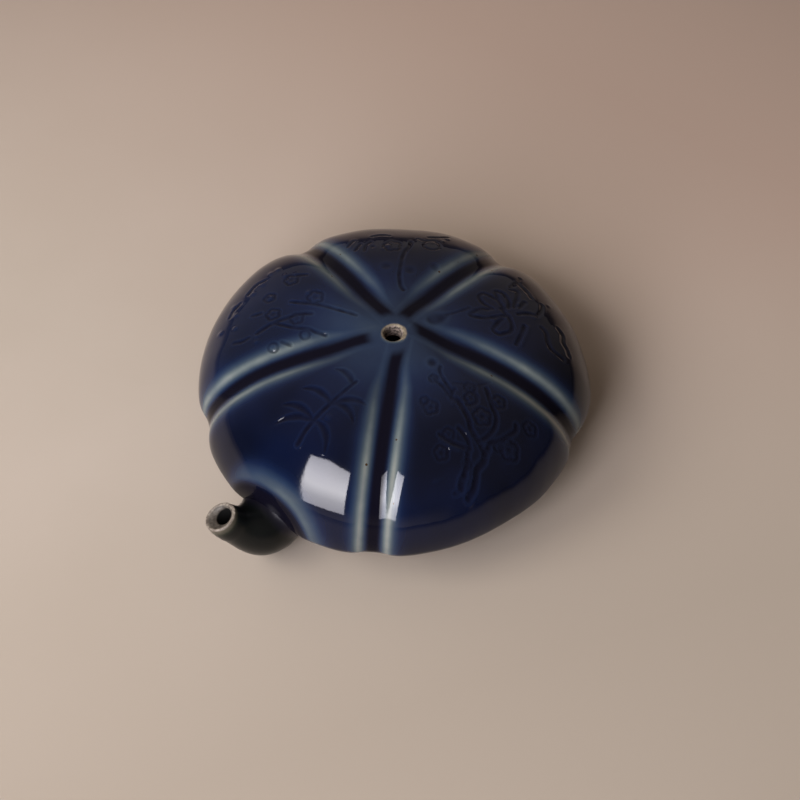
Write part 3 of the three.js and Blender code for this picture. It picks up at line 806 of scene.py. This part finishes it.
def thin_glaze_and_reflection(skin, edge):
    """Where the glaze runs thin, off the grooves' edges, the crown, the hollow's rim and carved lines, with
    painted reflection below the rim and over one lobe, and painted glints on raised marks.
    """
    beside = beside_grooves(skin.radius, skin.azimuth)
    crest = mix(PALE_ASIDE_AT_CROWN, PALE_ASIDE, smooth((skin.radius - 10) / 8))
    off = np.abs(beside) - crest
    paleness = np.array(GROOVE_PALENESS)[:, :, None]
    paleness = np.where(beside < 0, paleness[:, 0], paleness[:, 1])
    outer_side = 0.5 ** (np.abs(off) / PALE_BREADTH) ** PALE_SQUARENESS
    band = np.where(off < 0, bell(off / PALE_BREADTH), outer_side) * paleness
    strength = mix(PALENESS_AT_CROWN, PALENESS, smooth((skin.radius - 8) / 22))
    strength = strength + PALENESS_ADDED_OUTSIDE * smooth((skin.radius - 26) / 16)
    crown = CROWN_PALENESS * (1 - smooth((skin.radius - 5) / 26))
    azimuth = skin.azimuth % 360
    # painted reflection as well as thin glaze: the rim's paleness spreads wide below the window's highlight,
    # in place of the mirrored floor
    from_rim = away_from_hollow(skin.x, skin.y, skin.height) - HOLLOW_RIM
    rim = bell(np.where(from_rim < 0, from_rim, from_rim / 2.7))
    rim = rim * mix(*RIM_PALENESS_AND_REFLECTION, smooth((azimuth - 260) / 22)) * smooth((azimuth - 255) / 8)
    # painted reflection: one lobe a little paler, where the wall behind on the left is mirrored
    wall_reflection = PAINTED_WALL_REFLECTION * bell((azimuth - REFLECTING_LOBE_AZIMUTH) / 26)
    return np.maximum(np.maximum(band.max(axis=0) * strength, crown), rim) + MARK_PALENESS_AND_GLINT * edge + wall_reflection


def glaze_pools(skin, depth):
    """Where the glaze lies thick: along the grooves' floors, in the hollow and in carved lines."""
    beside = np.abs(beside_grooves(skin.radius, skin.azimuth)).min(axis=0)
    floors = (1 - smooth((beside - 0.8) / 1.6)) * smooth((skin.radius - 4.5) / 3)
    hollow = 1 - smooth((away_from_hollow(skin.x, skin.y, skin.height) - HOLLOW_RIM + 2.8) / 2.0)
    return np.clip(np.maximum(np.maximum(floors, hollow), depth / 0.3), 0, 1)


def hole_ring(radius, azimuth):
    """How bare the clay is round the air hole, and how thin the glaze runs out there."""
    toward = np.radians(azimuth)
    edge = BARE_RING + 0.25 * np.cos(2 * toward - 1.5) + 0.22 * np.cos(toward - 1.1)
    edge = edge + 0.08 * np.sin(3 * toward + 0.6)
    bare = smooth((edge - radius) / 0.3 + 0.5)
    halo = (0.3 + 0.4 * np.clip(np.cos(toward + 0.8), 0, 1)) * bell((radius - edge) / 0.7)
    return bare, halo


def painted(skin, depth, edge):
    bare, halo = hole_ring(skin.radius, skin.azimuth)
    # the thin share also holds painted reflection and painted glints
    thin = np.maximum(thin_glaze_and_reflection(skin, edge), halo)
    return {"thin": thin, "pool": glaze_pools(skin, depth), "bare": bare}


def inside(count):
    """Attributes of the unglazed chamber's side of a wall."""
    return {"thin": np.zeros(count), "pool": np.zeros(count), "bare": np.ones(count)}


def stacked(parts):
    return {key: np.concatenate([part[key] for part in parts]) for key in parts[0]}


def upper_half(material):
    """The upper moulded half: crown and shoulders, from the joint to the air hole, and its inside."""
    hole_edge = AIR_HOLE_RADIUS + AIR_HOLE_ROUNDING
    hole_share = float(np.interp(-hole_edge, -crown_outline(FINE)[0], FINE))
    outline = crown_outline(even_shares(crown_outline, 0, hole_share))
    counts = column_counts(outline[0])
    skin = laid_out(outline, counts)
    depth, edge = carve(skin, DESIGNS)
    points = [pressed(skin, depth - MARK_LIP * edge + waviness(skin.x, skin.y, skin.height))]
    paint = [painted(skin, depth, edge)]

    skin_end = counts[-1]
    rim_points = points[0][-skin_end:]
    centre = np.array([*AIR_HOLE_PLACE, 0])
    outward = (rim_points - centre) * np.array([1, 1, 0]) / hole_edge
    rows = []
    for turn in np.radians(np.arange(15, 91, 15)):
        inward = AIR_HOLE_ROUNDING * math.sin(turn)
        drop = AIR_HOLE_ROUNDING * (1 - math.cos(turn))
        rows.append(rim_points - outward * inward - np.array([0, 0, drop]))
    rounded = rows[-1]
    for drop in (0.7, 1.4, WALL - AIR_HOLE_ROUNDING + AIR_HOLE_BURR):
        rows.append(rounded - np.array([0, 0, drop]))
    points += rows
    counts += [counts[-1]] * len(rows)
    for k in range(len(rows)):
        reach = hole_edge - AIR_HOLE_ROUNDING * math.sin(math.radians(min(15 * (k + 1), 90)))
        bare, halo = hole_ring(np.full(counts[-1], reach), skin.azimuth[-skin_end:])
        paint.append({"thin": halo, "pool": np.full(counts[-1], float(k > 2)), "bare": bare})

    inner_t = np.linspace(hole_share - 0.01, 0, 40)
    inner = laid_out(crown_outline(inner_t, WALL, INNER_TURN), [INNER_COLUMNS] * len(inner_t))
    points.append(pressed(inner, depth=GROOVE_DEPTH_INSIDE))
    middle = single_row(BODY_RADIUS - WALL / 2, WIDEST_HEIGHT)
    points.append(pressed(middle))
    counts += [INNER_COLUMNS] * len(inner_t) + [2 * INNER_COLUMNS]
    paint.append(inside(INNER_COLUMNS * (len(inner_t) + 2)))

    faces = skin_faces(counts, True)
    piece = make_piece("upper_half", np.concatenate(points), faces, stacked(paint), material)
    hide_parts("upper_shell")


def lower_half(material):
    """The lower moulded half: the belly between the base slab and the joint, and its inside."""
    outline = belly_outline(even_shares(belly_outline, belly_share_at(BASE_THICKNESS), 1))
    counts = [COLUMNS] * len(outline[0])
    skin = laid_out(outline, counts)
    depth, edge = carve(skin, DESIGNS)
    points = [pressed(skin, depth + waviness(skin.x, skin.y, skin.height))]
    paint = [painted(skin, depth, edge)]

    middle = single_row(BODY_RADIUS - WALL / 2, WIDEST_HEIGHT)
    inner_t = np.linspace(0, 1, 16)
    inner = laid_out(inner_belly_outline(inner_t), [INNER_COLUMNS] * len(inner_t))
    land = single_row(outline[0][0] - FOOT_LAND / 2, BASE_THICKNESS)
    points += [pressed(middle), pressed(inner, depth=GROOVE_DEPTH_INSIDE), pressed(land)]
    counts += [2 * INNER_COLUMNS] + [INNER_COLUMNS] * len(inner_t) + [2 * INNER_COLUMNS]
    paint.append(inside(INNER_COLUMNS * (len(inner_t) + 4)))

    faces = skin_faces(counts, True)
    piece = make_piece("lower_half", np.concatenate(points), faces, stacked(paint), material)
    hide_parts("lower_shell")


def base_slab(material):
    """The flat slab that closes the body underneath."""
    columns = COLUMNS // 2
    shares = np.linspace(0, belly_share_at(BASE_THICKNESS), 12)
    skin = laid_out(belly_outline(shares), [columns] * len(shares))
    points = pressed(skin, waviness(skin.x, skin.y, skin.height) * smooth(skin.height / BASE_THICKNESS))
    faces = skin_faces([columns] * len(shares), False)
    count = len(points)
    points = np.concatenate([points, [(0, 0, 0), (0, 0, BASE_THICKNESS)]])
    for k in range(columns):
        n = (k + 1) % columns
        faces.append((n, k, count))
        faces.append((count - columns + k, count - columns + n, count + 1))
    piece = make_piece("base_slab", points, faces, {}, material)
    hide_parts("base_disc")


def spout_rings(shares, radii):
    """Points of rings round the spout's centre line, and the line's point at each."""
    knots = [HOLLOW_CENTRE + np.array(offset) for offset in SPOUT_OFFSETS]
    t = np.asarray(shares, float)[:, None]
    centre = cubic(t, *knots)
    along = cubic_slope(t, *knots)
    along /= np.linalg.norm(along, axis=1, keepdims=True)
    side = np.array([1.0, 0, 0]) - along * along[:, :1]
    side /= np.linalg.norm(side, axis=1, keepdims=True)
    across = np.cross(along, side)
    turn = np.arange(SPOUT_SIDES) * 2 * math.pi / SPOUT_SIDES
    way = np.cos(turn)[None, :, None] * side[:, None] + np.sin(turn)[None, :, None] * across[:, None]
    return centre[:, None] + np.asarray(radii, float)[:, None, None] * way, way


def spout_radius(t):
    bulb = mix(SPOUT_ROOT_RADIUS, SPOUT_BULB_RADIUS, smooth(t / SPOUT_BULB_PLACE))
    run = (t - SPOUT_BULB_PLACE) / (SPOUT_NECK_PLACE - SPOUT_BULB_PLACE)
    neck = mix(SPOUT_BULB_RADIUS, SPOUT_NECK_RADIUS, smooth(run))
    lip = mix(SPOUT_NECK_RADIUS, SPOUT_LIP_RADIUS, (t - SPOUT_NECK_PLACE) / (1 - SPOUT_NECK_PLACE))
    return np.where(t < SPOUT_BULB_PLACE, bulb, np.where(t < SPOUT_NECK_PLACE, neck, lip))


def bore_radius(t):
    flare = smooth((t - SPOUT_FLARE_PLACE) / (1 - SPOUT_FLARE_PLACE))
    return mix(SPOUT_BORE_RADIUS, SPOUT_MOUTH_BORE_RADIUS, flare)


def over_the_wall(points):
    """How far points stand out from the body's wall, in mm."""
    x, y, z = points[..., 0], points[..., 1], points[..., 2]
    wall = np.where(z < WIDEST_HEIGHT, belly_radius_at(z), crown_radius_at(z))
    turn = np.arctan2(y, x)
    return np.hypot(x, y) - wall + hollow_depth(wall * np.cos(turn), wall * np.sin(turn), z)


def bulb_spout(material):
    """The bulb spout, luted on with slip, with a rounded bare lip."""
    lip_wall = (SPOUT_LIP_RADIUS - SPOUT_MOUTH_BORE_RADIUS) / 2
    length = np.linalg.norm(np.array(SPOUT_OFFSETS[3]) - np.array(SPOUT_OFFSETS[0]))
    lip_start = 1 - lip_wall / length
    shares = np.linspace(SPOUT_START, lip_start, 70)
    outer, way = spout_rings(shares, spout_radius(shares))
    under = smooth((-way[..., 2] - 0.45) / 0.5)
    near_root = 1 - smooth((shares - SPOUT_START) / 0.24)
    outer = outer - way * (SPOUT_UNDERCUT * near_root[:, None] * under)[..., None]
    over = over_the_wall(outer)
    stand = np.clip(over, 0, LUTING_FILLET)
    fillet = LUTING_FILLET - np.sqrt(LUTING_FILLET ** 2 - (LUTING_FILLET - stand) ** 2)
    above = smooth((way[..., 2] + 0.7) / 0.8)
    outer = outer + way * (fillet * above * smooth(1 + over / 1.2))[..., None]
    rounding = np.radians(np.arange(20, 161, 20))
    lip, _ = spout_rings(lip_start + (1 - lip_start) * np.sin(rounding),
                         SPOUT_MOUTH_BORE_RADIUS + lip_wall + lip_wall * np.cos(rounding))
    bore_shares = np.concatenate([np.linspace(lip_start, 0.9, 9), np.linspace(0.88, SPOUT_START, 21)])
    bore, _ = spout_rings(bore_shares, bore_radius(bore_shares))
    aside = smooth((lip_start - bore_shares) / (lip_start - SPOUT_FLARE_PLACE))
    bore = bore + aside[:, None, None] * np.array(BORE_ASIDE)
    points = np.concatenate([outer, lip, bore])
    rows = len(points)
    flat = points.reshape(-1, 3)
    along = np.concatenate([shares, np.ones(len(rounding)), bore_shares])
    worn = smooth((shares - 0.97) / 0.02)
    bare = np.repeat(np.concatenate([worn, np.ones(len(rounding) + len(bore_shares))]), SPOUT_SIDES)
    rooted = 1 - smooth((np.clip(over, 0, 9) - 1.0) / 2.4)
    # painted shade down the bore, deepening away from the mouth
    bore_shade = np.concatenate([np.zeros(len(rounding)), mix(0.6, 1.0, smooth((0.955 - bore_shares) / 0.02))])
    pool = np.concatenate([rooted.reshape(-1), np.repeat(bore_shade, SPOUT_SIDES)])
    thin = np.repeat(0.06 + 0.7 * smooth((along - 0.86) / 0.12), SPOUT_SIDES)
    attributes = {"thin": thin, "pool": pool, "bare": bare}
    piece = make_piece("bulb_spout", flat, skin_faces([SPOUT_SIDES] * rows, True), attributes, material)
    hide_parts("spout")


# Floor, light and camera

def floor():
    """The cloth that the dropper stands on. In the photograph's view nothing else shows behind it."""
    mesh = bpy.data.meshes.new("floor")
    corners = [(x * FLOOR_REACH, y * FLOOR_REACH, 0) for x, y in ((-1, -1), (1, -1), (1, 1), (-1, 1))]
    mesh.from_pydata(corners, [], [(0, 1, 2, 3)])
    mesh.materials.append(backdrop_cloth())
    plane = bpy.data.objects.new("floor", mesh)
    bpy.context.scene.collection.objects.link(plane)


def camera():
    """The photograph's camera, aimed at the middle of the widest plane."""
    data = bpy.data.cameras.new("camera")
    data.sensor_width = SENSOR_MM
    data.lens = FOCAL_PIXELS / IMAGE_PIXELS * SENSOR_MM
    data.shift_x = (IMAGE_PIXELS / 2 - AXIS_PIXEL[0]) / IMAGE_PIXELS
    data.shift_y = (AXIS_PIXEL[1] - IMAGE_PIXELS / 2) / IMAGE_PIXELS
    data.clip_start = 0.01
    viewer = bpy.data.objects.new("camera", data)
    bpy.context.scene.collection.objects.link(viewer)
    back = direction(CAMERA_AZIMUTH, CAMERA_ELEVATION)
    viewer.location = Vector((0, 0, WIDEST_HEIGHT * MM)) + back * CAMERA_DISTANCE
    viewer.rotation_euler = back.to_track_quat("Z", "Y").to_euler()
    bpy.context.scene.camera = viewer


def soft_box(name, azimuth, elevation, distance, size, brightness, colour, glow=None, roll=0.0):
    """A large soft lamp aimed at the dropper. One with a glow, from foot to head, is only mirrored in it."""
    data = bpy.data.lights.new(name, "AREA")
    data.shape = "RECTANGLE"
    data.size, data.size_y = size
    data.energy = brightness * math.pi * size[0] * size[1]
    data.color = linear(colour)[:3]
    lamp = bpy.data.objects.new(name, data)
    if glow:
        data.use_nodes = True
        tree = data.node_tree
        tree.nodes.clear()
        face = add(tree, "ShaderNodeNewGeometry").outputs["Parametric"]
        spot = add(tree, "ShaderNodeSeparateXYZ", Vector=face)
        level = add(tree, "ShaderNodeValToRGB", {"stops": glow}, Fac=spot.outputs[1])
        shine = add(tree, "ShaderNodeEmission", Color=level)
        add(tree, "ShaderNodeOutputLight", Surface=shine)
    bpy.context.scene.collection.objects.link(lamp)
    way = direction(azimuth, elevation)
    lamp.location = way * distance
    lamp.rotation_euler = (way.to_track_quat("Z", "Y") @ Quaternion((0, 0, 1), math.radians(roll))).to_euler()
    lamp.visible_camera = False
    lamp.visible_glossy = glow is not None
    lamp.visible_diffuse = glow is None


def studio():
    """A tall window left of the camera, with softer light from beside it and from behind on the left."""
    glow = [(0.0, "b4b4b8"), (0.3, "d0d0d2"), (0.56, "ffffff"), (0.72, "f4f4f6"), (1.0, "c8c8cc")]
    soft_box("window", 283.5, 33, 1.0, (0.42, 0.85), 20.5, "fbf8fd", glow=glow, roll=5)
    soft_box("window_light", 283, 33, 1.0, (0.42, 0.85), 10.4, "f8f6ff")
    soft_box("side_light", 239, 42, 1.2, (0.6, 0.6), 7.6, "fdf9f6")
    soft_box("back_light", 195, 32, 1.3, (1.0, 0.8), 1.2, "fdf9f6")


def room():
    """A dim room, brighter at the horizon on the left, at the wall behind on the left, and a little above."""
    world = bpy.data.worlds.new("room")
    world.use_nodes = True
    tree = world.node_tree
    way = add(tree, "ShaderNodeTexCoord").outputs["Generated"]
    towards = []
    for azimuth, elevation in ((142, 20), (290, 0), (10, 60)):
        facing = {"operation": "DOT_PRODUCT", 1: tuple(direction(azimuth, elevation))}
        towards.append(add(tree, "ShaderNodeVectorMath", facing, i0=way).outputs["Value"])
    eased = {"interpolation_type": "SMOOTHSTEP"}
    wall = add(tree, "ShaderNodeMapRange", {"From Min": 0.05, "To Max": 0.29, **eased}, Value=towards[0])
    lateral = {"From Min": 0.5, "To Min": 0.03, "To Max": 0.75}
    left = add(tree, "ShaderNodeMapRange", lateral, Value=towards[1])
    above = add(tree, "ShaderNodeMapRange", {"From Min": 0.2, "To Max": 0.16, **eased}, Value=towards[2])
    height = add(tree, "ShaderNodeSeparateXYZ", Vector=way).outputs["Z"]
    lowest = {"From Max": 0.4, "To Min": 1.0, "To Max": 0.0, **eased}
    low = add(tree, "ShaderNodeMapRange", lowest, Value=height)
    horizon = add(tree, "ShaderNodeMath", {"operation": "MULTIPLY_ADD", 2: 0.025}, i0=left, i1=low)
    total = add(tree, "ShaderNodeMath", {"operation": "ADD"}, i0=horizon, i1=wall)
    total = add(tree, "ShaderNodeMath", {"operation": "ADD"}, i0=total, i1=above)
    tree.links.new(total.outputs[0], tree.nodes["Background"].inputs["Strength"])
    tree.nodes["Background"].inputs["Color"].default_value = linear("f4e2d5")
    bpy.context.scene.world = world


bpy.context.scene.view_settings.view_transform = "Standard"
camera()
studio()
room()
floor()
glaze = cobalt_glaze()
upper_half(glaze)
lower_half(glaze)
bulb_spout(spout_glaze())
base_slab(bare_porcelain())
